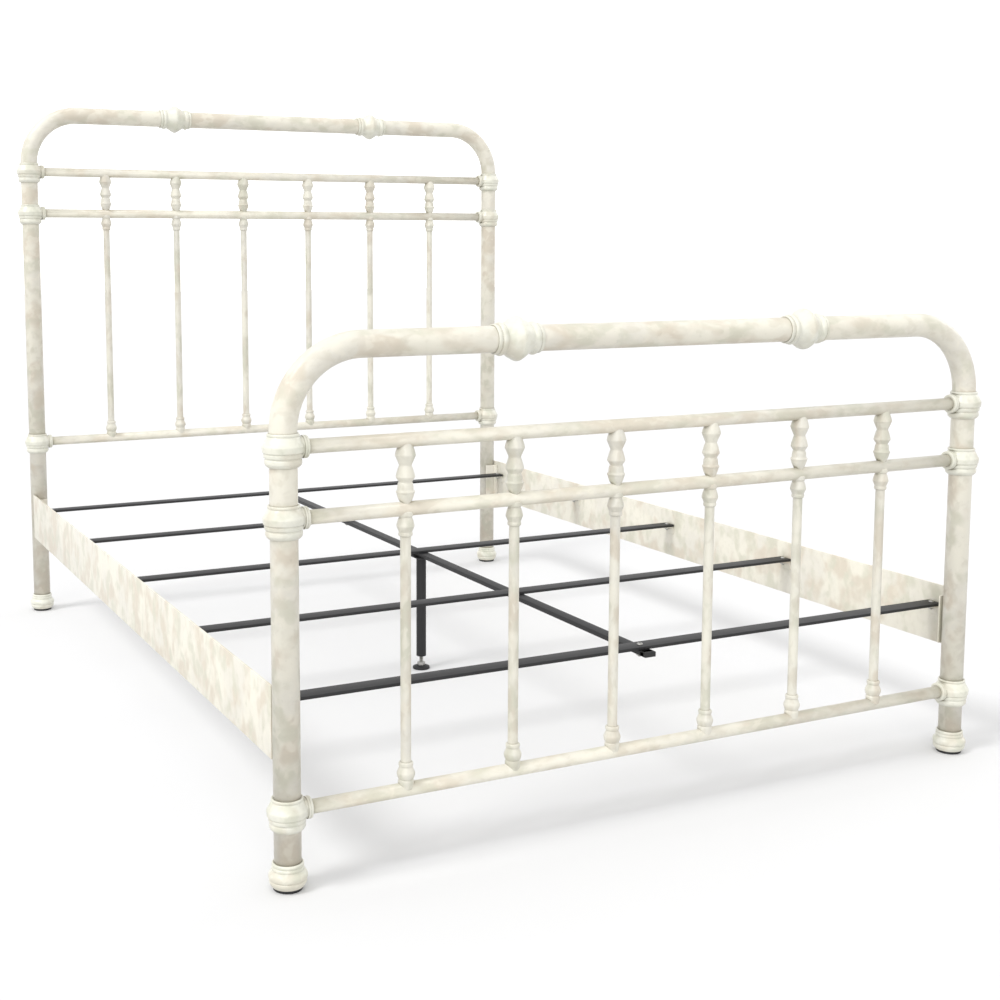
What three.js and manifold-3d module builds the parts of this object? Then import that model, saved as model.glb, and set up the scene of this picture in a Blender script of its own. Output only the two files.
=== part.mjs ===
// A queen-size iron bed frame: two bent-tube boards with cast joints and turned spindles, joined by two
// plate side rails that carry a centre rail and steel slats on one adjustable leg.
// Millimetres. X runs across the bed, Y along it with the head end at +Y, and Z is up from the floor.

import * as THREE from "three";
import { mergeVertices } from "three/addons/utils/BufferGeometryUtils.js";
import Module from "manifold-3d";

const wasm = await Module();
wasm.setup();

// ---- Driving dimensions ----

const POST_SPACING = 1540; // between the post axes of one board
const BED_LENGTH = 2110; // between the head and foot post axes
const GAP = 0.3; // clearance between pieces that touch

const TUBE = { radius: 24, wall: 2, bend: 143 };
const CROSS_RAIL = { radius: 12.7, wall: 1.6 };
const BOARDS = [
  { name: "footboard", side: -1, lower: 138, middle: 645, upper: 766, top: 935 },
  { name: "headboard", side: 1, lower: 514, middle: 1196, upper: 1317, top: 1484 },
];
const SPINDLES = { count: 6, spacing: 218, rod: 9.5, neck: 8 };
const KNUCKLE_X = 1.5 * SPINDLES.spacing; // in line with the second spindle from each end

const SOCKET = { radius: 18, flange: 19.6, flangeWidth: 8.5, reach: 42, depth: 27.5 };
const GLIDE = { radius: 26, height: 5.5, stem: 5, stemTop: 40 };
const CUP_FLOOR = 14; // the height in a cast foot that the tube stands on

const RAIL = { outside: 791, thickness: 4.8, bottom: 226, height: 130, end: 1036.5 };
const SLAT = { count: 5, width: 38, thickness: 6.3, top: 317, reach: 784, outerY: 985 };
const SHELF = { width: 30, depth: 24, thickness: 3.2, drop: 22 };
const BRACKET = { thickness: 3.5, bottom: 238, height: 104, postFace: 1030.5, wing: 23, inside: 752 };
const HOOK = { heights: [262, 314], thickness: 4, neck: 13, tongue: 15, slot: 5, slotHeight: 31 };
const CENTRE = { width: 25.4, height: 10.4, wall: 1.5, end: 1018, cap: 4 };
const LEG = { radius: 12.7, wall: 1.6, bottom: 34, plate: [70, 44, 3] };
const LEG_FOOT = { radius: 22, height: 9, stem: 5, nutTop: 20, stemTop: 90 };

const ROUND_SIDES = 12;
const SPINDLE_SIDES = 8;

// ---- Materials ----

const paint = (color) => new THREE.MeshStandardMaterial({ color, roughness: 0.45, metalness: 0.0 });
const tubePaint = paint(0xe2dccb);
const castingPaint = paint(0xe4e3d4);
const railPaint = paint(0xf2ecdc);
const blackSteel = new THREE.MeshStandardMaterial({ color: 0x17171a, roughness: 0.5, metalness: 0.3 });
const blackPlastic = new THREE.MeshStandardMaterial({ color: 0x121214, roughness: 0.6, metalness: 0.0 });

// ---- Shapes and joins ----

// Turns a closed geometry into a solid that can be joined and cut.
function solidOf(geometry) {
  const bare = geometry.clone();
  bare.deleteAttribute("normal");
  bare.deleteAttribute("uv");
  const merged = mergeVertices(bare, 1e-3);
  return new wasm.Manifold(
    new wasm.Mesh({
      numProp: 3,
      vertProperties: Float32Array.from(merged.attributes.position.array),
      triVerts: Uint32Array.from(merged.index.array),
    }),
  );
}

function geometryOf(solid) {
  const mesh = solid.getMesh();
  const geometry = new THREE.BufferGeometry();
  geometry.setAttribute("position", new THREE.BufferAttribute(mesh.vertProperties, 3));
  geometry.setIndex(new THREE.BufferAttribute(mesh.triVerts, 1));
  const flat = geometry.toNonIndexed();
  flat.computeVertexNormals();
  return flat;
}

// A closed outline of [radius, height] points, counted anticlockwise, turned about the Z axis.
function turned(outline, sides = ROUND_SIDES) {
  const points = outline.map(([radius, height]) => new THREE.Vector2(radius, height));
  return solidOf(new THREE.LatheGeometry(points, sides).rotateX(Math.PI / 2));
}

// A round bar along Z.
function bar(radius, bottom, top, sides = ROUND_SIDES) {
  const geometry = new THREE.CylinderGeometry(radius, radius, top - bottom, sides);
  return solidOf(geometry.rotateX(Math.PI / 2).translate(0, 0, (bottom + top) / 2));
}

function block(from, to) {
  const size = to.map((value, i) => value - from[i]);
  const centre = to.map((value, i) => (value + from[i]) / 2);
  return solidOf(new THREE.BoxGeometry(...size).translate(...centre));
}

// The same block for either side: a negative sign mirrors its X or Y span.
function mirroredBlock(xSign, ySign, [x0, y0, z0], [x1, y1, z1]) {
  const xs = [x0 * xSign, x1 * xSign].sort((a, b) => a - b);
  const ys = [y0 * ySign, y1 * ySign].sort((a, b) => a - b);
  return block([xs[0], ys[0], z0], [xs[1], ys[1], z1]);
}

const alongX = (solid) => solid.rotate([0, 90, 0]);

const group = new THREE.Group();

function add(name, solid, material) {
  const mesh = new THREE.Mesh(geometryOf(solid), material);
  mesh.name = name;
  group.add(mesh);
}

const sideName = (sign) => (sign < 0 ? "left" : "right");

// ---- Bows: one tube bent to two posts and the top of a board ----

// The centre line of a bow, with a station at each end and along both bends only.
class BowLine extends THREE.Curve {
  constructor(foot, top) {
    super();
    const half = POST_SPACING / 2;
    const steps = 6;
    this.stations = [{ x: -half, z: foot, angle: 0 }];
    for (const sign of [-1, 1]) {
      for (let i = 0; i <= steps; i++) {
        const swing = ((sign < 0 ? i : steps - i) / steps) * (Math.PI / 2);
        this.stations.push({
          x: sign * (half - TUBE.bend * (1 - Math.cos(swing))),
          z: top - TUBE.bend * (1 - Math.sin(swing)),
          angle: sign < 0 ? swing : Math.PI - swing,
        });
      }
    }
    this.stations.push({ x: half, z: foot, angle: Math.PI });
  }

  station(t) {
    return this.stations[Math.round(t * (this.stations.length - 1))];
  }

  getPoint(t, target = new THREE.Vector3()) {
    const { x, z } = this.station(t);
    return target.set(x, 0, z);
  }

  getPointAt(t, target) {
    return this.getPoint(t, target);
  }

  getTangentAt(t, target = new THREE.Vector3()) {
    const { angle } = this.station(t);
    return target.set(Math.sin(angle), 0, Math.cos(angle));
  }
}

function bow(board) {
  const ring = new THREE.Shape().absarc(0, 0, TUBE.radius, 0, 2 * Math.PI);
  ring.holes.push(new THREE.Path().absarc(0, 0, TUBE.radius - TUBE.wall, 0, 2 * Math.PI, true));
  const line = new BowLine(CUP_FLOOR + GAP, board.top);
  const tube = new THREE.ExtrudeGeometry(ring, {
    extrudePath: line,
    steps: line.stations.length - 1,
    curveSegments: ROUND_SIDES / 2,
    bevelEnabled: false,
  });
  const y = (board.side * BED_LENGTH) / 2;
  let solid = solidOf(tube.translate(0, y, 0));
  for (const xSign of [-1, 1]) {
    for (const height of HOOK.heights) {
      const from = [(POST_SPACING - HOOK.slot) / 2, BED_LENGTH / 2 - TUBE.radius - 2, height];
      const to = [(POST_SPACING + HOOK.slot) / 2, BED_LENGTH / 2 - TUBE.radius + 8, height + HOOK.slotHeight];
      solid = solid.subtract(mirroredBlock(xSign, board.side, from, to));
    }
  }
  return solid;
}

// ---- Castings ----

// Heights are measured from the axis of the cross rail that the casting holds.
function cornerCasting(toCentre) {
  const bore = TUBE.radius + GAP;
  const ring = turned([
    [bore, -32],
    [27, -32],
    [31.4, -25],
    [30.9, -17],
    [33.5, -9],
    [36, -5],
    [36, 3],
    [27.8, 18.5],
    [27, 25],
    [bore, 25],
    [bore, -32],
  ]);
  const rim = SOCKET.reach - SOCKET.flangeWidth;
  const boss = bar(SOCKET.radius, 10, rim + 1).add(bar(SOCKET.flange, rim, SOCKET.reach));
  const railBore = bar(CROSS_RAIL.radius + GAP, SOCKET.depth - 1, SOCKET.reach + 5);
  const socket = alongX(boss).subtract(bar(bore, -40, 40));
  const casting = ring.add(socket).subtract(alongX(railBore));
  return toCentre > 0 ? casting : casting.rotate([0, 0, 180]);
}

function footCasting() {
  const bore = TUBE.radius + GAP;
  const stemBore = GLIDE.stem + GAP;
  const bottom = GLIDE.height + GAP;
  return turned([
    [stemBore, bottom],
    [28, bottom],
    [33, 14],
    [34.4, 24],
    [33.6, 29],
    [28, 35],
    [28, 41],
    [26, 49],
    [bore, 49],
    [bore, CUP_FLOOR],
    [stemBore, CUP_FLOOR],
    [stemBore, bottom],
  ]);
}

function glide() {
  return turned([
    [0, 0],
    [GLIDE.radius - 1.5, 0],
    [GLIDE.radius, 1.5],
    [GLIDE.radius, GLIDE.height],
    [GLIDE.stem, GLIDE.height],
    [GLIDE.stem, GLIDE.stemTop],
    [0, GLIDE.stemTop],
  ]);
}

// A ring with a wide rounded middle and a collar at each end.
function knuckle() {
  const bore = TUBE.radius + GAP;
  const half = [
    [40.5, 2],
    [35, 11],
    [28, 23],
    [29.5, 34],
    [26.8, 41],
    [26, 47],
  ];
  const outside = [...half.map(([radius, along]) => [radius, -along]).reverse(), ...half];
  return alongX(turned([[bore, -47], ...outside, [bore, 47], [bore, -47]]));
}

// ---- Cross rails and spindles ----

const railHalfLength = POST_SPACING / 2 - SOCKET.depth;
const spindlePlaces = Array.from(
  { length: SPINDLES.count },
  (_, i) => (i - (SPINDLES.count - 1) / 2) * SPINDLES.spacing,
);

function crossRail(drilled) {
  const bore = bar(CROSS_RAIL.radius - CROSS_RAIL.wall, -railHalfLength - 1, railHalfLength + 1);
  let rail = alongX(bar(CROSS_RAIL.radius, -railHalfLength, railHalfLength).subtract(bore));
  if (drilled) {
    for (const x of spindlePlaces) {
      const hole = bar(SPINDLES.neck + GAP, -20, 20, SPINDLE_SIDES);
      rail = rail.subtract(hole.translate([x, 0, 0]));
    }
  }
  return rail;
}

// One turned spindle at its height in the board: a triple-bulb casting between the upper and middle
// rails, then a plain rod with a vase-shaped collar under the middle rail and another on the lower rail.
function spindle(board) {
  const { upper, middle, lower } = board;
  const rod = SPINDLES.rod;
  const outline = [
    [0, lower + 6],
    [14.2, lower + 6],
    [14.2, lower + 20],
    [16.4, lower + 30],
    [12.4, lower + 43],
    [rod, lower + 52],
    [rod, middle - 48],
    [12.6, middle - 42],
    [16, middle - 30],
    [12, middle - 15],
    [13.8, middle - 11],
    [13.8, middle - 6],
    [SPINDLES.neck, middle - 6],
    [SPINDLES.neck, middle + 12],
    [12.6, upper - 106],
    [16.6, upper - 96],
    [16.6, upper - 90],
    [12, upper - 74],
    [17, upper - 64],
    [11.5, upper - 44],
    [18.4, upper - 26],
    [15, upper - 8],
    [0, upper - 8],
  ];
  const saddle = alongX(bar(CROSS_RAIL.radius + GAP, -30, 30));
  let solid = turned(outline, SPINDLE_SIDES);
  for (const height of [lower, middle, upper]) {
    solid = solid.subtract(saddle.translate([0, 0, height]));
  }
  return solid.add(bar(SPINDLES.neck, middle - 20, middle + 20, SPINDLE_SIDES));
}

// ---- Side rails and their brackets ----

const slatPlaces = Array.from(
  { length: SLAT.count },
  (_, i) => SLAT.outerY * ((2 * i) / (SLAT.count - 1) - 1),
);
const railInside = RAIL.outside - RAIL.thickness;
const shelfTop = SLAT.top - SLAT.thickness - GAP;

// A flat plate on edge, with a welded angle shelf under the end of each slat.
function sideRail(xSign) {
  const top = RAIL.bottom + RAIL.height;
  let rail = mirroredBlock(xSign, 1, [railInside, -RAIL.end, RAIL.bottom], [RAIL.outside, RAIL.end, top]);
  for (const y of slatPlaces) {
    const near = y - SHELF.width / 2;
    const far = y + SHELF.width / 2;
    const under = shelfTop - SHELF.thickness;
    const shelf = [railInside - SHELF.depth, near, under];
    const leg = [railInside - SHELF.thickness, near, shelfTop - SHELF.drop];
    rail = rail.add(mirroredBlock(xSign, 1, shelf, [railInside + 1, far, shelfTop]));
    rail = rail.add(mirroredBlock(xSign, 1, leg, [railInside + 1, far, shelfTop - 1]));
  }
  return rail;
}

// An angle bracket on a rail's end, with two flat hooks that drop behind the slotted wall of the post.
function railBracket(xSign, ySign) {
  const face = BRACKET.postFace;
  const back = face - BRACKET.thickness;
  const top = BRACKET.bottom + BRACKET.height;
  const outer = railInside - GAP;
  const piece = (from, to) => mirroredBlock(xSign, ySign, from, to);
  const wingBack = [outer - BRACKET.thickness, face - BRACKET.wing, BRACKET.bottom];
  let bracket = piece([BRACKET.inside, back, BRACKET.bottom], [outer, face, top]);
  bracket = bracket.add(piece(wingBack, [outer, face - 1, top]));
  const near = (POST_SPACING - HOOK.thickness) / 2;
  const far = (POST_SPACING + HOOK.thickness) / 2;
  const wallInside = BED_LENGTH / 2 - (TUBE.radius - TUBE.wall) * Math.cos(Math.PI / ROUND_SIDES);
  for (const height of HOOK.heights) {
    const neckBottom = height + GAP;
    const neckTop = neckBottom + HOOK.neck;
    const tongue = wallInside + 1;
    bracket = bracket.add(piece([near, face - 1, neckBottom], [far, tongue + 1, neckTop]));
    bracket = bracket.add(piece([near, tongue, neckBottom - HOOK.tongue], [far, tongue + 5, neckTop]));
  }
  return bracket;
}

// ---- Slats, centre rail and leg ----

function slat() {
  const half = SLAT.width / 2;
  return block([-SLAT.reach, -half, SLAT.top - SLAT.thickness], [SLAT.reach, half, SLAT.top]);
}

const centreTop = shelfTop;
const centreBottom = centreTop - CENTRE.height;

// A flat rectangular tube, open at its ends.
function centreRail() {
  const half = CENTRE.width / 2;
  const bore = half - CENTRE.wall;
  const outside = block([-half, -CENTRE.end, centreBottom], [half, CENTRE.end, centreTop]);
  const inside = block(
    [-bore, -CENTRE.end - 1, centreBottom + CENTRE.wall],
    [bore, CENTRE.end + 1, centreTop - CENTRE.wall],
  );
  return outside.subtract(inside);
}

// A plug that closes one end of the centre rail.
function centreCap(ySign) {
  const half = CENTRE.width / 2;
  const plug = half - CENTRE.wall - GAP;
  const face = CENTRE.end + GAP;
  const head = mirroredBlock(1, ySign, [-half, face, centreBottom], [half, face + CENTRE.cap, centreTop]);
  const low = centreBottom + CENTRE.wall + GAP;
  const high = centreTop - CENTRE.wall - GAP;
  return head.add(mirroredBlock(1, ySign, [-plug, face - 18, low], [plug, face + 1, high]));
}

function centreLeg() {
  const [length, width, thickness] = LEG.plate;
  const top = centreBottom - GAP;
  const plate = block([-width / 2, -length / 2, top - thickness], [width / 2, length / 2, top]);
  const tube = bar(LEG.radius, LEG.bottom, top - 1).subtract(
    bar(LEG.radius - LEG.wall, LEG.bottom + 12, top - thickness),
  );
  const nutBore = bar(LEG_FOOT.stem + GAP, LEG.bottom - 1, LEG.bottom + 13);
  return plate.add(tube).subtract(nutBore);
}

function legFoot() {
  return turned([
    [0, 0],
    [LEG_FOOT.radius - 2, 0],
    [LEG_FOOT.radius, 2],
    [LEG_FOOT.radius, LEG_FOOT.height - 3],
    [LEG_FOOT.radius - 8, LEG_FOOT.height],
    [9, LEG_FOOT.height],
    [9, LEG_FOOT.nutTop],
    [LEG_FOOT.stem, LEG_FOOT.nutTop],
    [LEG_FOOT.stem, LEG_FOOT.stemTop],
    [0, LEG_FOOT.stemTop],
  ]);
}

// ---- Assembly ----

for (const board of BOARDS) {
  const y = (board.side * BED_LENGTH) / 2;
  add(`${board.name}_bow`, bow(board), tubePaint);

  for (const level of ["lower", "middle", "upper"]) {
    const rail = crossRail(level === "middle").translate([0, y, board[level]]);
    add(`${board.name}_${level}_rail`, rail, tubePaint);
    for (const sign of [-1, 1]) {
      const place = [(sign * POST_SPACING) / 2, y, board[level]];
      const name = `${board.name}_${level}_casting_${sideName(sign)}`;
      add(name, cornerCasting(-sign).translate(place), castingPaint);
    }
  }

  for (const sign of [-1, 1]) {
    const place = [(sign * POST_SPACING) / 2, y, 0];
    const side = sideName(sign);
    add(`${board.name}_foot_${side}`, footCasting().translate(place), castingPaint);
    add(`${board.name}_glide_${side}`, glide().translate(place), blackPlastic);
    const knucklePlace = [sign * KNUCKLE_X, y, board.top];
    add(`${board.name}_knuckle_${side}`, knuckle().translate(knucklePlace), castingPaint);
    add(`${board.name}_rail_bracket_${side}`, railBracket(sign, board.side), railPaint);
  }

  spindlePlaces.forEach((x, i) => {
    add(`${board.name}_spindle_${i + 1}`, spindle(board).translate([x, y, 0]), tubePaint);
  });
}

for (const sign of [-1, 1]) {
  add(`side_rail_${sideName(sign)}`, sideRail(sign), railPaint);
}
slatPlaces.forEach((y, i) => add(`slat_${i + 1}`, slat().translate([0, y, 0]), blackSteel));
add("centre_rail", centreRail(), blackSteel);
add("centre_rail_cap_foot", centreCap(-1), blackPlastic);
add("centre_rail_cap_head", centreCap(1), blackPlastic);
add("centre_leg", centreLeg(), blackSteel);
add("centre_leg_foot", legFoot(), blackPlastic);

export default group;
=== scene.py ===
# A queen-size iron bed frame in antique white enamel, with black steel slats.
# Metres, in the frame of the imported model: X across the bed, Y along it, Z up from the floor.

import math

import bmesh
import bpy
from mathutils import Matrix, Vector


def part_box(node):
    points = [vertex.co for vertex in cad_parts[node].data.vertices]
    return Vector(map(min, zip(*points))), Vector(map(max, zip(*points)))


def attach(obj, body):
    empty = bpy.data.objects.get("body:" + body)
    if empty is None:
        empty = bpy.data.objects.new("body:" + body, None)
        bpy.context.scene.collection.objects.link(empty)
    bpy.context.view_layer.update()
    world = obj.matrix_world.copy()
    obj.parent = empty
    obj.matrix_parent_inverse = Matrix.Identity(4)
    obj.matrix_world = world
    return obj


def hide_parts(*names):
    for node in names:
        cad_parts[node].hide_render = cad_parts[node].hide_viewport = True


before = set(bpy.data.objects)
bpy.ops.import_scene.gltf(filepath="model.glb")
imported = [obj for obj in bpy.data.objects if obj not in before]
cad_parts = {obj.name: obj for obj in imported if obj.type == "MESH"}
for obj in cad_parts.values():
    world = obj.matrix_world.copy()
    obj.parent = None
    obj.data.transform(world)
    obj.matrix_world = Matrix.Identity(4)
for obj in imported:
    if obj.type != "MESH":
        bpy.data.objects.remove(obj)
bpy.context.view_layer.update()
bpy.ops.object.select_all(action="DESELECT")

MM = 0.001
BEND = 143 * MM  # centre-line radius of the bends in a bow
TUBE_WALL = 2 * MM
CROSS_WALL = 1.6 * MM  # wall of a cross rail
GAP = 0.3 * MM  # between pieces that touch
GROOVE_WIDTH = 9 * MM  # the widest groove that gets painted shade
PLATE = 4.8 * MM  # thickness of a side rail
SHELF = 3.2 * MM  # thickness of the shelves under the slats
SHELF_HALF = 15 * MM  # half a shelf's length along the side rail
SHELF_DEPTH = 22 * MM  # height of a shelf's leg against the side rail
BRACKET = 3.5 * MM  # thickness of a bracket
BRACKET_REACH = 23 * MM  # from a bracket's inner edge to its face on the post
HOOK_HEIGHTS = (262.3 * MM, 314.3 * MM)
HOOK_HALF = 2 * MM  # half a hook's thickness
HOOK_NECK = 13 * MM  # height of a hook where it goes through the post
HOOK_LIP = 5 * MM  # length of the part that drops behind the post's wall
HOOK_DROP = 15 * MM
BOLT_INSET = 10 * MM  # from a slat's end to its bolt
SHELF_GRIP = 9.8  # millimetres from a bolt's head to its nut, under a shelf
CENTRE_GRIP = 17.0  # the same, inside the centre rail
WELD_RIPPLE = 3.4  # millimetres from ripple to ripple of a weld
SHELF_WELD = 1.9  # radius in millimetres of the beads on a shelf
BRACKET_WELD = 2.1  # radius in millimetres of the bead down a bracket
CAP_FLANGE = 4 * MM  # thickness of an end cap outside the centre rail
CAP_PLUG = 14 * MM  # depth of an end cap inside the centre rail
SLATS = 5
MIDDLE_SLAT = 3  # over the leg's plate, so it has no bolt there
SPINDLES = 6  # on each board
LEG_RADIUS = 12.7  # in millimetres
NECK = 8.4  # radius in millimetres of a spindle inside the middle rail
BOARDS = ("footboard", "headboard")
SIDES = {"left": -1, "right": 1}
LEVELS = ("lower", "middle", "upper")
FLOOR_SIZE = 60
BACKDROP = (0.37, 0.93, 0.0)  # the way to the white wall behind the bed
CAMERA_PLACE = (-1.5914, -3.2631, 1.1005)
CAMERA_AHEAD = (0.43099, 0.89515, -0.11385)
CAMERA_RIGHT = (0.90095, -0.43391, -0.00102)


# ---- Shaders ----


class Wire:
    """One output of a shader node, to use in an expression or to feed to another node."""

    def __init__(self, tree, socket):
        self.tree = tree
        self.socket = socket

    def node(self, kind, settings=None, inputs=None, output=0):
        made = self.tree.nodes.new("ShaderNode" + kind)
        for name, value in (settings or {}).items():
            setattr(made, name, value)
        for name, value in (inputs or {}).items():
            if isinstance(value, Wire):
                self.tree.links.new(value.socket, made.inputs[name])
            else:
                made.inputs[name].default_value = value
        return Wire(self.tree, made.outputs[output])

    def math(self, operation, first, second):
        return self.node("Math", {"operation": operation}, {0: first, 1: second})

    def __add__(self, other):
        return self.math("ADD", self, other)

    def __radd__(self, other):
        return self.math("ADD", other, self)

    def __sub__(self, other):
        return self.math("SUBTRACT", self, other)

    def __rsub__(self, other):
        return self.math("SUBTRACT", other, self)

    def __mul__(self, other):
        return self.math("MULTIPLY", self, other)

    def __rmul__(self, other):
        return self.math("MULTIPLY", other, self)

    def noise(self, scale, detail=3.0, roughness=0.5, distortion=0.0):
        values = {
            "Vector": self,
            "Scale": scale,
            "Detail": detail,
            "Roughness": roughness,
            "Distortion": distortion,
        }
        return self.node("TexNoise", None, values)

    def between(self, low, high):
        """0 below low, 1 above high, and a smooth step from one to the other."""
        settings = {"interpolation_type": "SMOOTHSTEP", "clamp": True}
        return self.node("MapRange", settings, {"Value": self, "From Min": low, "From Max": high})

    def blend(self, below, above):
        """The colour below where this is 0, and the colour above where it is 1."""
        settings = {"data_type": "RGBA", "clamp_factor": True}
        inputs = {"Factor": self, "A": below, "B": above}
        return self.node("Mix", settings, inputs, output="Result")


def colour(red, green, blue):
    """A paint chip's 0 to 255 values as the linear colour that shaders use."""
    return (*(((value / 255 + 0.055) / 1.055) ** 2.4 for value in (red, green, blue)), 1.0)


def shader_of(name):
    made = bpy.data.materials.new(name)
    made.use_nodes = True
    tree = made.node_tree
    shader = tree.nodes["Principled BSDF"]
    coordinates = Wire(tree, tree.nodes.new("ShaderNodeTexCoord").outputs["Object"])
    return made, shader, coordinates


def feed(coordinates, shader, name, wire):
    coordinates.tree.links.new(wire.socket, shader.inputs[name])


def antique_white(
    name, clean, stretch=(1, 1, 1), mottle=1.0, dabbing=1.0, groove_shading=0.0, gloss=0.0
):
    """Brushed-on antique white enamel: pale cream with soft tan and grey-green clouds, and painted
    shade darkening its grooves when asked for.
    """
    made, shader, place = shader_of(name)
    shader.inputs["IOR"].default_value = 1.5
    shader.inputs["Coat Roughness"].default_value = 0.22
    mapped = place.node("Mapping", None, {"Vector": place, "Scale": stretch})
    shifted = mapped.node("Mapping", None, {"Vector": mapped, "Location": (3.1, 1.7, 0.4)})

    def tint(red, green, blue):
        return colour(clean[0] + red, clean[1] + green, clean[2] + blue)

    # Colour of the dirt flecks, and also of the painted shade in the grooves.
    grime_and_groove_shade = colour(128, 123, 104)
    clouds = mapped.noise(9.0, 3.0, 0.5, 0.2)
    patches = mapped.noise(20.0, 2.0, 0.5, 0.2)
    greens = shifted.noise(26.0, 2.0, 0.5, 0.2)
    dabs = shifted.noise(62.0, 2.0, 0.5, 0.3)
    flecks = mapped.noise(150.0, 4.0, 0.65)
    paint = (clouds.between(0.38, 0.64) * mottle).blend(tint(0, 0, 0), tint(8, 8, 5))
    paint = (patches.between(0.46, 0.64) * mottle).blend(paint, tint(-10, -15, -20))
    paint = (greens.between(0.48, 0.66) * (0.8 * mottle)).blend(paint, tint(-16, -14, -20))
    paint = (dabs.between(0.50, 0.66) * (0.55 * mottle * dabbing)).blend(paint, tint(10, 9, 6))
    dark_dabs = (1.0 - dabs).between(0.52, 0.68) * (0.4 * mottle * dabbing)
    paint = dark_dabs.blend(paint, tint(-18, -20, -25))
    paint = (flecks.between(0.55, 0.8) * 0.14).blend(paint, grime_and_groove_shade)
    # Painted shade: ambient occlusion darkens the grooves, hollows and joins towards the grime
    # colour, where shade falls.
    if groove_shading:
        reach = {"Distance": GROOVE_WIDTH}
        open_air = place.node("AmbientOcclusion", {"samples": 8}, reach, output="AO")
        painted_groove_shade = (1.0 - open_air).between(0.14, 0.58) * groove_shading
        paint = painted_groove_shade.blend(paint, grime_and_groove_shade)
    feed(place, shader, "Base Color", paint)

    sheen = 0.40 - gloss + 0.12 * patches + 0.12 * flecks
    feed(place, shader, "Roughness", sheen)
    feed(place, shader, "Coat Weight", 0.15 + 0.3 * clouds)
    brushed = mapped.noise(210.0, 3.0, 0.6)
    skin = 0.6 * brushed + 0.4 * place.noise(46.0, 2.0, 0.5)
    bump = place.node("Bump", None, {"Strength": 0.4, "Distance": 0.0006, "Height": skin})
    feed(place, shader, "Normal", bump)
    return made


def black_powder_coat():
    made, shader, place = shader_of("black_powder_coat")
    shader.inputs["Specular IOR Level"].default_value = 0.45
    dust = place.noise(24.0, 4.0, 0.6, 0.4)
    grain = place.noise(1500.0, 2.0, 0.6)
    scuffs = place.noise(70.0, 5.0, 0.75, 1.2).between(0.62, 0.74)
    black = dust.blend(colour(25, 25, 27), colour(38, 38, 39))
    worn = (scuffs * 0.35).blend(black, colour(66, 64, 61))
    feed(place, shader, "Base Color", worn)
    feed(place, shader, "Roughness", 0.42 + 0.14 * dust + 0.12 * grain)
    bump = place.node("Bump", None, {"Strength": 0.3, "Distance": 0.0002, "Height": grain})
    feed(place, shader, "Normal", bump)
    return made


def black_moulding():
    made, shader, place = shader_of("black_moulding")
    cloud = place.noise(45.0, 3.0, 0.55)
    grain = place.noise(2200.0, 2.0, 0.5)
    scrape = place.noise(160.0, 4.0, 0.7, 0.8).between(0.6, 0.75)
    black = cloud.blend(colour(22, 22, 23), colour(32, 32, 33))
    feed(place, shader, "Base Color", (scrape * 0.3).blend(black, colour(58, 57, 55)))
    feed(place, shader, "Roughness", 0.5 + 0.12 * cloud + 0.1 * scrape)
    bump = place.node("Bump", None, {"Strength": 0.25, "Distance": 0.00015, "Height": grain})
    feed(place, shader, "Normal", bump)
    return made


def zinc_plate():
    made, shader, place = shader_of("zinc_plate")
    shader.inputs["Metallic"].default_value = 1.0
    bloom = place.noise(190.0, 4.0, 0.6)
    lay = place.node("Mapping", None, {"Vector": place, "Scale": (1, 1, 9)}).noise(420.0, 2.0, 0.5)
    feed(place, shader, "Base Color", bloom.blend(colour(150, 150, 148), colour(196, 195, 190)))
    feed(place, shader, "Roughness", 0.26 + 0.18 * bloom + 0.08 * lay)
    bump = place.node("Bump", None, {"Strength": 0.2, "Distance": 0.0001, "Height": lay})
    feed(place, shader, "Normal", bump)
    return made


def studio_floor():
    made, shader, place = shader_of("studio_floor")
    cloud = place.noise(0.7, 2.0, 0.5)
    grain = place.noise(260.0, 2.0, 0.5)
    feed(place, shader, "Base Color", cloud.blend(colour(219, 219, 219), colour(222, 222, 222)))
    feed(place, shader, "Roughness", 0.75 + 0.1 * grain)
    return made


# Paints given a groove amount below get that much painted shade in their grooves and at their
# joins.
TUBE_PAINT = antique_white("tube_enamel", (216, 212, 200), stretch=(0.5, 1, 0.7), groove_shading=0.35)
CROSS_PAINT = antique_white(
    "cross_rail_enamel", (221, 217, 204), stretch=(0.55, 1, 1), mottle=0.85
)
CASTING_PAINT = antique_white(
    "casting_enamel", (217, 216, 204), mottle=0.8, groove_shading=0.95, gloss=0.10
)
SPINDLE_PAINT = antique_white(
    "spindle_enamel", (212, 209, 198), stretch=(1, 1, 0.5), mottle=1.1, groove_shading=0.8, gloss=0.08
)
RAIL_PAINT = antique_white(
    "side_rail_enamel", (221, 217, 205), stretch=(1, 0.85, 0.7), dabbing=0.45, groove_shading=0.3
)
BLACK_STEEL = black_powder_coat()
BLACK_PLASTIC = black_moulding()
ZINC = zinc_plate()


# ---- Modelling ----


def only(piece):
    bpy.ops.object.select_all(action="DESELECT")
    piece.select_set(True)
    bpy.context.view_layer.objects.active = piece


def edit_all():
    bpy.ops.object.mode_set(mode="EDIT")
    bpy.ops.mesh.select_all(action="SELECT")


def push(x, y, z):
    bpy.ops.mesh.extrude_region_move(TRANSFORM_OT_translate={"value": (x, y, z)})


def settle(piece, angle=38):
    """Puts the piece's place in its mesh, closes its seams and smooths all but its sharp edges."""
    only(piece)
    bpy.ops.object.transform_apply(location=True, rotation=True, scale=True)
    edit_all()
    bpy.ops.mesh.remove_doubles(threshold=0.002 * MM)
    bpy.ops.mesh.normals_make_consistent(inside=False)
    bpy.ops.object.mode_set(mode="OBJECT")
    bpy.ops.object.shade_smooth_by_angle(angle=math.radians(angle))
    return piece


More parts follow.
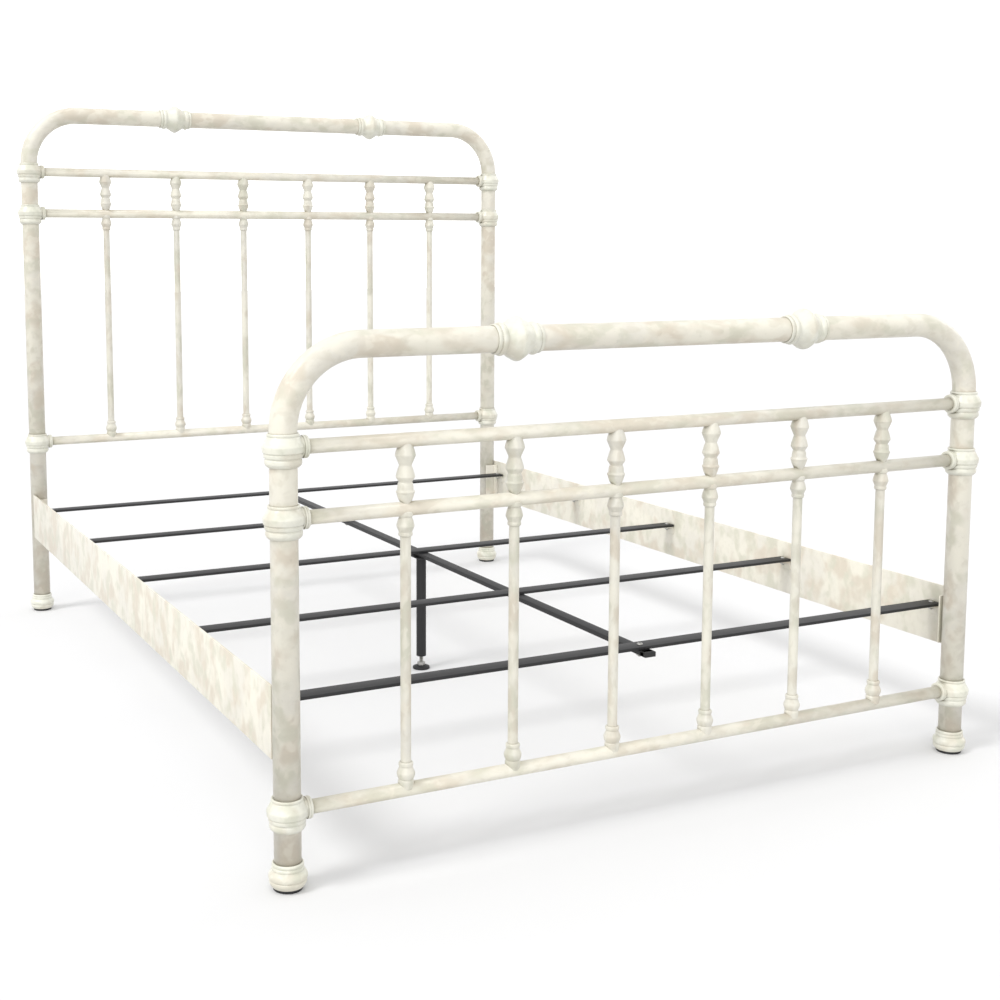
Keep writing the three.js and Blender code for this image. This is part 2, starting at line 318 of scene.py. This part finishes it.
def apply_modifier(piece, kind, **settings):
    only(piece)
    bpy.ops.object.modifier_add(type=kind)
    modifier = piece.modifiers[-1]
    for name, value in settings.items():
        setattr(modifier, name, value)
    bpy.ops.object.modifier_apply(modifier=modifier.name)


def bevelled(piece, width, segments=3, angle=35):
    settings = {"limit_method": "ANGLE", "angle_limit": math.radians(angle)}
    apply_modifier(piece, "BEVEL", width=width * MM, segments=segments, **settings)
    return piece


def united(piece, *others):
    for other in others:
        apply_modifier(piece, "BOOLEAN", operation="UNION", solver="EXACT", object=other)
        bpy.data.objects.remove(other)
    return piece


def cut(piece, *tools):
    for tool in tools:
        apply_modifier(piece, "BOOLEAN", operation="DIFFERENCE", solver="EXACT", object=tool)
        bpy.data.objects.remove(tool)
    return piece


def joined(piece, *others):
    only(piece)
    for other in others:
        other.select_set(True)
    bpy.ops.object.join()
    return piece


def copied(model, place=(0, 0, 0), turn=(0, 0, 0)):
    """A copy of a finished model with a mesh of its own, turned and put in its place."""
    only(model)
    bpy.ops.object.duplicate(linked=False)
    piece = bpy.context.object
    piece.rotation_euler = [math.radians(angle) for angle in turn]
    piece.location = place
    bpy.ops.object.transform_apply(location=True, rotation=True, scale=True)
    return piece


def finish_piece(piece, name, material, slot, *nodes, body="frame"):
    piece.name = name
    piece.data.name = name
    piece.data.materials.clear()
    piece.data.materials.append(material)
    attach(piece, body)
    if nodes:
        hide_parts(*nodes)


def rounded(points, steps=3):
    """An outline of [radius, height] points with its corners eased. A third number says by how
    much, in millimetres; a point without one is eased by 0.35."""
    outline = [tuple(points[0][:2])]
    for before, corner, after in zip(points, points[1:], points[2:]):
        here = Vector(corner[:2])
        ease = corner[2] if len(corner) > 2 else 0.35
        ends = []
        for other in (before, after):
            reach = Vector(other[:2]) - here
            ends.append(here + reach.normalized() * min(ease, 0.48 * reach.length))
        for step in range(steps + 1):
            t = step / steps
            point = (1 - t) ** 2 * ends[0] + 2 * t * (1 - t) * here + t * t * ends[1]
            outline.append(tuple(point))
    return [*outline, tuple(points[-1][:2])]


def turned(outline, segments=48, ring=False):
    """A round shape on the Z axis: a disc pulled up from radius to radius, all in millimetres.
    A ring's outline ends where it starts, and leaves its bore open."""
    scaled = [(radius * MM, height * MM) for radius, height in outline]
    radius, height = scaled[0]
    fill = "NOTHING" if ring else "NGON"
    where = (0, 0, height)
    bpy.ops.mesh.primitive_circle_add(
        vertices=segments, radius=radius, location=where, fill_type=fill
    )
    piece = bpy.context.object
    edit_all()
    for next_radius, next_height in scaled[1:]:
        push(0, 0, next_height - height)
        grow = next_radius / radius
        bpy.ops.transform.resize(value=(grow, grow, 1), center_override=(0, 0, next_height))
        radius, height = next_radius, next_height
    bpy.ops.object.mode_set(mode="OBJECT")
    return settle(piece)


def block(low, high):
    low, high = Vector(low), Vector(high)
    bpy.ops.mesh.primitive_cube_add(size=1, location=(low + high) / 2)
    piece = bpy.context.object
    piece.scale = [abs(length) for length in high - low]
    bpy.ops.object.transform_apply(location=True, rotation=True, scale=True)
    return piece


def pull_faces(piece, normal, chosen, offset):
    """Extrudes the faces that look along normal and whose middle is chosen."""
    only(piece)
    bpy.ops.object.mode_set(mode="EDIT")
    bpy.ops.mesh.select_mode(type="FACE")
    bpy.ops.mesh.select_all(action="DESELECT")
    shape = bmesh.from_edit_mesh(piece.data)
    for face in shape.faces:
        if face.normal.dot(Vector(normal)) > 0.99 and chosen(face.calc_center_median()):
            face.select_set(True)
    bmesh.update_edit_mesh(piece.data)
    push(*offset)
    bpy.ops.mesh.select_mode(type="VERT")
    bpy.ops.object.mode_set(mode="OBJECT")


def middle(node):
    low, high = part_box(node)
    return (low + high) / 2


def weld_bead(start, end, radius):
    """A rippled bead of weld from start to end, its radius in millimetres."""
    start, end = Vector(start), Vector(end)
    length = (end - start).length / MM
    ripples = max(3, round(length / WELD_RIPPLE))
    steps = ripples * 4
    outline = []
    for i in range(steps + 1):
        taper = math.sin(math.pi * min(1.0, (i + 0.6) / 4, (steps - i + 0.6) / 4) / 2)
        ripple = 0.86 + 0.14 * abs(math.sin(math.pi * i / 4))
        outline.append((radius * taper * ripple, length * i / steps))
    bead = turned(outline, segments=12)
    towards = (end - start).to_track_quat("Z", "Y")
    bead.data.transform(Matrix.Translation(start) @ towards.to_matrix().to_4x4())
    return bead


# ---- Boards: bows, cross rails, castings and spindles ----


def read_board(name):
    low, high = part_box(f"{name}_bow")
    radius = (high.y - low.y) / 2
    board = {"name": name, "radius": radius, "y": (low.y + high.y) / 2, "post": high.x - radius}
    board["foot"] = low.z
    board["top"] = high.z - radius
    for level in LEVELS:
        board[level] = middle(f"{name}_{level}_rail").z
    return board


def make_bow(board):
    """A tube run up one post, round the bend, across the top and down the other post."""
    post, y, radius = board["post"], board["y"], board["radius"]
    bend_height = board["top"] - BEND
    where = (-post, y, board["foot"])
    bpy.ops.mesh.primitive_circle_add(
        vertices=64, radius=radius, location=where, fill_type="NOTHING"
    )
    piece = bpy.context.object
    edit_all()
    push(0, 0, bend_height - board["foot"])
    for x, run in ((-1, 2 * (post - BEND)), (1, 0)):
        centre = (x * (post - BEND), y, bend_height)
        bpy.ops.mesh.spin(steps=28, angle=-math.pi / 2, center=centre, axis=(0, 1, 0))
        if run:
            push(run, 0, 0)
    push(0, 0, board["foot"] - bend_height)
    bpy.ops.object.mode_set(mode="OBJECT")
    settle(piece)
    apply_modifier(piece, "SOLIDIFY", thickness=TUBE_WALL, offset=-1)
    return piece


def make_cross_rail(node):
    """A straight tube, its ends bored."""
    low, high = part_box(node)
    radius = (high.z - low.z) / 2
    where = (low.x, (low.y + high.y) / 2, (low.z + high.z) / 2)
    turn = (0, math.pi / 2, 0)
    bpy.ops.mesh.primitive_circle_add(
        vertices=40, radius=radius, location=where, rotation=turn, fill_type="NOTHING"
    )
    piece = bpy.context.object
    edit_all()
    push(high.x - low.x, 0, 0)
    bpy.ops.object.mode_set(mode="OBJECT")
    settle(piece)
    apply_modifier(piece, "SOLIDIFY", thickness=CROSS_WALL, offset=-1)
    return piece


# Outlines of the castings: radius, height and how far the corner is eased, in millimetres.
RING_OUTSIDE = [
    (24.2, -32.2),
    (26.6, -32.0, 0.5),
    (30.0, -29.0, 2.0),
    (31.7, -25.6, 1.2),
    (31.7, -20.2, 1.2),
    (30.6, -18.2, 0.5),
    (30.6, -16.8, 0.5),
    (32.6, -15.4, 0.5),
    (33.5, -10.4, 0.5),
    (32.8, -9.2, 0.4),
    (32.9, -8.2, 0.4),
    (35.2, -6.6, 0.6),
    (36.0, 2.2, 0.8),
    (35.7, 4.0, 0.8),
    (28.2, 17.8, 1.2),
    (27.1, 19.0, 0.5),
    (27.1, 20.0, 0.4),
    (27.9, 20.9, 0.6),
    (27.9, 24.0, 0.8),
    (26.6, 25.0, 0.5),
    (24.2, 25.0),
]
SOCKET_OUTSIDE = [
    (18.8, 22.0),
    (18.2, 30.0, 2.0),
    (18.2, 32.6, 0.4),
    (19.6, 33.4, 0.5),
    (19.6, 36.4, 0.4),
    (18.9, 36.9, 0.2),
    (18.9, 37.6, 0.2),
    (19.6, 38.1, 0.4),
    (19.6, 40.8, 0.9),
    (18.4, 42.0, 0.5),
    (13.0, 42.0),
]
KNUCKLE_HALF = [
    (40.5, 0.0),
    (40.2, 2.8, 2.5),
    (35.6, 11.2, 2.0),
    (28.6, 22.6, 2.5),
    (27.5, 25.6, 1.0),
    (27.5, 27.4, 0.6),
    (28.6, 29.0, 0.6),
    (30.0, 32.4, 1.2),
    (30.0, 35.6, 1.2),
    (28.2, 38.4, 0.6),
    (26.6, 39.0, 0.4),
    (26.6, 40.4, 0.4),
    (27.4, 41.2, 0.5),
    (27.4, 45.4, 0.9),
    (26.2, 47.0, 0.6),
    (24.2, 47.0),
]
FOOT_OUTSIDE = [
    (5.4, 5.8),
    (28.0, 5.8, 0.6),
    (30.0, 8.0, 1.5),
    (33.0, 13.0, 1.5),
    (33.2, 17.2, 0.8),
    (32.2, 18.4, 0.4),
    (32.2, 19.4, 0.4),
    (33.7, 20.6, 0.6),
    (34.4, 23.4, 2.0),
    (34.2, 27.6, 2.0),
    (31.6, 32.0, 2.0),
    (28.2, 34.4, 0.8),
    (27.8, 36.2, 0.6),
    (28.5, 37.4, 0.6),
    (28.5, 40.6, 0.8),
    (27.0, 41.8, 0.4),
    (27.0, 43.0, 0.4),
    (27.9, 44.0, 0.6),
    (27.9, 47.2, 0.9),
    (26.2, 49.0, 0.6),
    (24.2, 49.0),
]


def make_corner_casting():
    """The casting on a left post, about its cross rail's axis, with its socket towards +X."""
    outline = rounded(RING_OUTSIDE)
    ring = turned([*outline, outline[0]], segments=64, ring=True)
    socket = turned(rounded(SOCKET_OUTSIDE), segments=48)
    socket.rotation_euler = (0, math.pi / 2, 0)
    return settle(united(ring, settle(socket)), angle=30)


def make_knuckle():
    far = rounded([(40.5, -1.0), *KNUCKLE_HALF])[1:]
    near = [(radius, -along) for radius, along in reversed(far)]
    outline = [*near, *far, near[0]]
    ring = turned(outline, segments=64, ring=True)
    ring.rotation_euler = (0, math.pi / 2, 0)
    return settle(ring)


def make_foot():
    outline = rounded(FOOT_OUTSIDE)
    return turned([*outline, (24.2, 14.0), (5.4, 14.0), outline[0]], segments=64, ring=True)


def thread(radius, bottom, top, pitch=1.5):
    """The outline of a threaded stem, ridge after ridge, from bottom to top."""
    outline = []
    turns = int((top - bottom) / pitch)
    for i in range(turns):
        outline.append((radius - 0.85, bottom + i * pitch))
        outline.append((radius, bottom + (i + 0.5) * pitch))
    return [*outline, (radius - 1.0, top)]


def make_glide():
    disc = rounded([(22.0, 0.0), (26.0, 0.0, 1.6), (26.0, 5.5, 0.8), (4.2, 5.5)])
    return turned([*disc, *thread(5.0, 5.6, 40.0)], segments=48)


# Outlines of the turned ends of a spindle: radius, distance from its rail's axis, and ease.
SPINDLE_BASE = [
    (13.4, 3.0),
    (13.8, 8.0, 0.8),
    (14.4, 11.4, 0.8),
    (14.4, 17.4, 0.8),
    (13.1, 19.2, 0.5),
    (13.1, 20.6, 0.5),
    (14.6, 22.2, 0.8),
    (16.2, 27.6, 0.8),
    (16.4, 32.0, 0.6),
    (12.3, 41.4, 0.6),
    (11.9, 43.0, 0.6),
    (13.2, 45.2, 0.7),
    (13.2, 49.6, 0.9),
    (11.8, 51.4, 0.5),
    (9.5, 51.8),
]
SPINDLE_VASE = [
    (9.5, 48.6),
    (11.4, 48.2, 0.5),
    (12.5, 46.6, 0.8),
    (12.5, 42.6, 0.7),
    (11.8, 41.0, 0.5),
    (12.2, 39.4, 0.6),
    (15.7, 31.2, 0.5),
    (16.0, 29.8, 0.5),
    (14.9, 24.0, 3.0),
    (12.4, 16.6, 0.6),
    (11.7, 15.0, 0.5),
    (11.8, 13.6, 0.5),
    (13.8, 11.8, 0.6),
    (13.8, 5.0, 0.8),
    (12.0, 3.0),
]
SPINDLE_BULBS = [
    (NECK, 112.0),
    (9.4, 109.4, 0.6),
    (12.6, 103.8, 1.6),
    (14.9, 97.0, 1.0),
    (15.3, 94.8, 0.5),
    (16.7, 91.6, 0.4),
    (16.9, 90.2, 0.4),
    (14.5, 86.8, 0.8),
    (14.0, 80.0, 2.0),
    (13.4, 76.2, 0.8),
    (12.0, 74.2, 0.6),
    (12.2, 72.6, 0.6),
    (16.8, 65.4, 0.4),
    (17.1, 63.8, 0.4),
    (15.3, 56.5, 3.0),
    (13.2, 49.5, 2.5),
    (11.4, 45.2, 1.0),
    (11.4, 43.2, 0.7),
    (18.2, 27.4, 0.5),
    (18.4, 25.6, 0.5),
    (16.8, 19.0, 2.5),
    (14.2, 12.0, 1.5),
    (12.0, 6.0, 1.0),
    (9.6, 3.0),
]


def spindle_outline(lower, middle_rail, upper):
    """Heights in millimetres. Base, rod, vase, neck through the middle rail, and three bulbs."""
    outline = [(radius, lower + up) for radius, up in rounded(SPINDLE_BASE)]
    outline += [(radius, middle_rail - down) for radius, down in rounded(SPINDLE_VASE)]
    outline += [(NECK, middle_rail), (NECK, upper - 114.0)]
    return outline + [(radius, upper - down) for radius, down in rounded(SPINDLE_BULBS)]


def make_boards():
    casting = make_corner_casting()
    knuckle = make_knuckle()
    foot = make_foot()
    glide = make_glide()
    for name in BOARDS:
        board = read_board(name)
        y = board["y"]
        finish_piece(make_bow(board), f"{name}_tube", TUBE_PAINT, "tube_paint", f"{name}_bow")
        for level in LEVELS:
            node = f"{name}_{level}_rail"
            finish_piece(make_cross_rail(node), f"{node}_tube", CROSS_PAINT, "tube_paint", node)
            for side, sign in SIDES.items():
                node = f"{name}_{level}_casting_{side}"
                turn = (0, 0, 0 if sign < 0 else 180)
                piece = copied(casting, (sign * board["post"], y, board[level]), turn)
                finish_piece(piece, f"{node}_cast", CASTING_PAINT, "casting_paint", node)
        for side, sign in SIDES.items():
            x = sign * board["post"]
            node = f"{name}_foot_{side}"
            piece = copied(foot, (x, y, 0))
            finish_piece(piece, f"{node}_cast", CASTING_PAINT, "casting_paint", node)
            node = f"{name}_glide_{side}"
            body = f"{name}_{side}_glide"
            piece = copied(glide, (x, y, 0))
            finish_piece(piece, f"{node}_moulded", BLACK_PLASTIC, "black_plastic", node, body=body)
            node = f"{name}_knuckle_{side}"
            piece = copied(knuckle, (middle(node).x, y, board["top"]))
            finish_piece(piece, f"{node}_cast", CASTING_PAINT, "casting_paint", node)
        heights = [board[level] / MM for level in LEVELS]
        spindle = turned(spindle_outline(*heights), segments=40)
        for number in range(1, SPINDLES + 1):
            node = f"{name}_spindle_{number}"
            piece = copied(spindle, (middle(node).x, y, 0))
            finish_piece(piece, f"{node}_turned", SPINDLE_PAINT, "tube_paint", node)
        bpy.data.objects.remove(spindle)
    for model in (casting, knuckle, foot, glide):
        bpy.data.objects.remove(model)


# ---- Side rails and brackets ----


def make_side_rail(side, sign):
    """A flat plate on edge with an angle shelf welded inside it under each slat."""
    node = f"side_rail_{side}"
    low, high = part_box(node)
    outside = sign * max(abs(low.x), abs(high.x))
    inside = outside - sign * PLATE
    tip = sign * min(abs(low.x), abs(high.x))
    rail = bevelled(block((inside, low.y, low.z), (outside, high.y, high.z)), 0.9)
    beads = []
    for number in range(1, SLATS + 1):
        slat_low, slat_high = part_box(f"slat_{number}")
        top = slat_low.z - GAP
        y = (slat_low.y + slat_high.y) / 2
        sunk = inside + sign * 0.4 * MM
        shelf = block((tip, y - SHELF_HALF, top - SHELF), (sunk, y + SHELF_HALF, top))
        edge = inside - sign * SHELF
        edit_all()
        bpy.ops.mesh.bisect(plane_co=(edge, 0, 0), plane_no=(1, 0, 0))
        bpy.ops.object.mode_set(mode="OBJECT")
        drop = SHELF_DEPTH - SHELF
        pull_faces(shelf, (0, 0, -1), lambda c: sign * c.x > sign * edge, (0, 0, -drop))
        rail = joined(rail, settle(bevelled(shelf, 0.5, 2)))
        for end in (-SHELF_HALF, SHELF_HALF):
            bottom = (inside - sign * GAP, y + end, top - SHELF_DEPTH + 1 * MM)
            beads.append(weld_bead(bottom, (bottom[0], bottom[1], top - 3 * MM), SHELF_WELD))
    settle(rail)
    finish_piece(rail, f"{node}_plate", RAIL_PAINT, "rail_paint", node)
    finish_piece(joined(*beads), f"{node}_shelf_welds", RAIL_PAINT, "rail_paint")


def make_bracket(name, side, x_sign, y_sign):
    """An angle bracket, with two flat hooks through the slots of the post."""
    node = f"{name}_rail_bracket_{side}"
    low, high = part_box(node)
    near_y, far_y = sorted((abs(low.y), abs(high.y)))
    near_x, far_x = sorted((abs(low.x), abs(high.x)))
    face = near_y + BRACKET_REACH
    back = face - BRACKET

    def place(x, y, z):
        return (x_sign * x, y_sign * y, z)

    plate = block(place(near_x, back, low.z), place(far_x, face, high.z))
    edit_all()
    corner = x_sign * (far_x - BRACKET)
    bpy.ops.mesh.bisect(plane_co=(corner, 0, 0), plane_no=(1, 0, 0))
    bpy.ops.object.mode_set(mode="OBJECT")
    reach = near_y - back
    offset = (0, y_sign * reach, 0)
    pull_faces(plate, (0, -y_sign, 0), lambda c: x_sign * c.x > x_sign * corner, offset)
    bevelled(plate, 0.7)
    hooks = []
    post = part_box(f"{name}_foot_{side}")
    x = abs((post[0].x + post[1].x) / 2)
    lip = far_y - HOOK_LIP
    for height in HOOK_HEIGHTS:
        start = place(x - HOOK_HALF, face - 0.5 * MM, height)
        neck = block(start, place(x + HOOK_HALF, far_y, height + HOOK_NECK))
        edit_all()
        bpy.ops.mesh.bisect(plane_co=place(0, lip, 0), plane_no=(0, 1, 0))
        bpy.ops.object.mode_set(mode="OBJECT")
        pull_faces(neck, (0, 0, -1), lambda c: y_sign * c.y > lip, (0, 0, -HOOK_DROP))
        hooks.append(bevelled(neck, 0.5, 2))
    piece = settle(joined(plate, *hooks))
    finish_piece(piece, f"{node}_plate", RAIL_PAINT, "rail_paint", node)
    start = place(far_x - 0.6 * MM, near_y - 0.2 * MM, low.z + 8 * MM)
    bead = weld_bead(start, (start[0], start[1], high.z - 8 * MM), BRACKET_WELD)
    finish_piece(bead, f"{node}_weld", RAIL_PAINT, "rail_paint")


# ---- Slats, centre rail and leg ----


def make_bolt(grip):
    """A button-head bolt with a hexagon socket and a nut. Its head seats at height 0."""
    dome = [
        (6.0, 0.0),
        (6.1, 0.6, 0.3),
        (5.6, 1.6, 0.5),
        (4.6, 2.5, 0.6),
        (3.2, 3.0, 0.6),
        (2.4, 3.1),
    ]
    head = turned(rounded(dome), segments=28)
    socket = turned([(2.1, 1.2), (2.1, 4.0)], segments=6)
    head = settle(cut(head, socket), angle=30)
    faces = [(6.0, -grip - 5.0), (6.5, -grip - 4.4), (6.5, -grip - 0.6), (6.1, -grip)]
    nut = turned(faces, segments=6)
    washer = turned([(7.6, -grip - 0.2), (7.8, -grip), (7.8, -grip + 0.3)], segments=28)
    ridges = thread(3.0, -grip - 7.5, -grip - 4.0, pitch=1.0)
    stem = turned([*ridges, (2.9, 0.2)], segments=16)
    return settle(joined(head, nut, washer, stem), angle=30)


def make_slats():
    bolt = make_bolt(SHELF_GRIP)
    long_bolt = make_bolt(CENTRE_GRIP)
    for number in range(1, SLATS + 1):
        node = f"slat_{number}"
        low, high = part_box(node)
        slat = settle(bevelled(block(low, high), 0.9))
        finish_piece(slat, f"{node}_bar", BLACK_STEEL, "black_steel", node)
        y = (low.y + high.y) / 2
        for side, sign in SIDES.items():
            piece = copied(bolt, (sign * (high.x - BOLT_INSET), y, high.z))
            finish_piece(piece, f"{node}_bolt_{side}", ZINC, "black_steel")
        if number != MIDDLE_SLAT:
            piece = copied(long_bolt, (0, y, high.z))
            finish_piece(piece, f"{node}_bolt_centre", ZINC, "black_steel")
    for model in (bolt, long_bolt):
        bpy.data.objects.remove(model)


def make_centre():
    low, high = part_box("centre_rail")
    tube = bevelled(block(low, high), 1.6)
    finish_piece(settle(tube), "centre_rail_tube", BLACK_STEEL, "black_steel", "centre_rail")
    for end, sign in (("foot", -1), ("head", 1)):
        node = f"centre_rail_cap_{end}"
        cap_low, cap_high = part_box(node)
        outer = sign * max(abs(cap_low.y), abs(cap_high.y))
        inner = outer - sign * CAP_FLANGE
        cap = block((cap_low.x, inner, cap_low.z), (cap_high.x, outer, cap_high.z))
        pull_faces(cap, (0, -sign, 0), lambda c: True, (0, -sign * CAP_PLUG, 0))
        cap = settle(bevelled(cap, 1.2))
        finish_piece(cap, f"{node}_plug", BLACK_PLASTIC, "black_plastic", node)


def make_leg():
    low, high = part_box("centre_leg")
    top = high.z / MM
    plate = bevelled(block((low.x, low.y, high.z - 3 * MM), high), 0.8)
    side = [(11.2, 34.0), (12.4, 34.2), (LEG_RADIUS, 35.0), (LEG_RADIUS, top - 2.9)]
    tube = turned(side, segments=40)
    leg = settle(joined(plate, tube))
    finish_piece(leg, "centre_leg_post", BLACK_STEEL, "black_steel", "centre_leg")
    weld = [(12.6, top - 6.4), (14.0, top - 5.4, 0.8), (15.4, top - 3.6, 0.8), (15.9, top - 2.9)]
    finish_piece(turned(rounded(weld), segments=40), "centre_leg_weld", BLACK_STEEL, "black_steel")

    node = "centre_leg_foot"
    pad = [(19.0, 0.0), (22.0, 0.0, 1.4), (22.0, 5.6, 1.2), (14.0, 9.0, 1.5), (5.0, 9.0)]
    foot = turned(rounded(pad), segments=48)
    nut = turned([(9.6, 9.0), (10.2, 9.7), (10.2, 17.0), (9.6, 17.7)], segments=6)
    stem = turned([(4.2, 8.0), *thread(5.0, 9.0, 90.0)], segments=20)
    stem = settle(joined(nut, stem), angle=30)
    finish_piece(foot, f"{node}_pad", BLACK_PLASTIC, "black_plastic", node, body="leg_foot")
    finish_piece(stem, f"{node}_screw", ZINC, "black_plastic", body="leg_foot")


# ---- Studio ----


def make_studio():
    bpy.ops.mesh.primitive_plane_add(size=FLOOR_SIZE, location=(0, 0, 0))
    floor = bpy.context.object
    floor.name = "studio_floor"
    floor.data.materials.append(studio_floor())
    floor.visible_diffuse = False
    floor.visible_shadow = False

    scene = bpy.context.scene
    scene.view_settings.view_transform = "Standard"
    world = bpy.data.worlds.new("studio_air")
    world.use_nodes = True
    tree = world.node_tree
    direction = Wire(tree, tree.nodes.new("ShaderNodeTexCoord").outputs["Generated"])
    height = direction.node("SeparateXYZ", None, {"Vector": direction}, output="Z")
    dome = height.between(-0.6, 0.6).blend((0.76, 0.76, 0.77, 1), (0.94, 0.94, 0.95, 1))
    skirt = height.between(-0.1, 0.0) * (1.0 - height.between(0.25, 0.5))
    dome = skirt.blend(dome, (1.02, 1.02, 1.02, 1))
    vectors = {0: direction, 1: BACKDROP}
    ahead = direction.node("VectorMath", {"operation": "DOT_PRODUCT"}, vectors, "Value")
    wall = ahead.between(0.80, 0.86) * (1.0 - height.between(0.22, 0.32))
    dome = wall.blend(dome, (1.5, 1.5, 1.5, 1))
    tree.links.new(dome.socket, tree.nodes["Background"].inputs["Color"])
    scene.world = world

    def soft_sun(name, place, spread, power):
        light = bpy.data.lights.new(name, "SUN")
        light.angle = math.radians(spread)
        light.energy = power
        lamp = bpy.data.objects.new(name, light)
        scene.collection.objects.link(lamp)
        lamp.location = place
        lamp.rotation_euler = (-Vector(place)).to_track_quat("-Z", "Y").to_euler()

    soft_sun("key_light", (-5.0, -0.5, 6.0), 18, 1.4)
    soft_sun("front_light", (-3.0, -6.0, 2.6), 45, 0.85)
    soft_sun("rim_light", (6.0, 1.0, 3.0), 30, 0.35)


def make_camera():
    camera = bpy.data.cameras.new("camera")
    camera.sensor_width = 36.0
    camera.lens = 51.27
    camera.shift_x, camera.shift_y = 0.086, -0.0915
    camera.clip_end = 200
    looker = bpy.data.objects.new("camera", camera)
    bpy.context.scene.collection.objects.link(looker)
    forward = Vector(CAMERA_AHEAD).normalized()
    up = Vector(CAMERA_RIGHT).cross(forward).normalized()
    turn = Matrix((forward.cross(up), up, -forward)).transposed().to_4x4()
    looker.matrix_world = Matrix.Translation(CAMERA_PLACE) @ turn
    bpy.context.scene.camera = looker


make_studio()
make_camera()
make_boards()
for side_name, side_sign in SIDES.items():
    make_side_rail(side_name, side_sign)
    make_bracket("footboard", side_name, side_sign, -1)
    make_bracket("headboard", side_name, side_sign, 1)
make_slats()
make_centre()
make_leg()
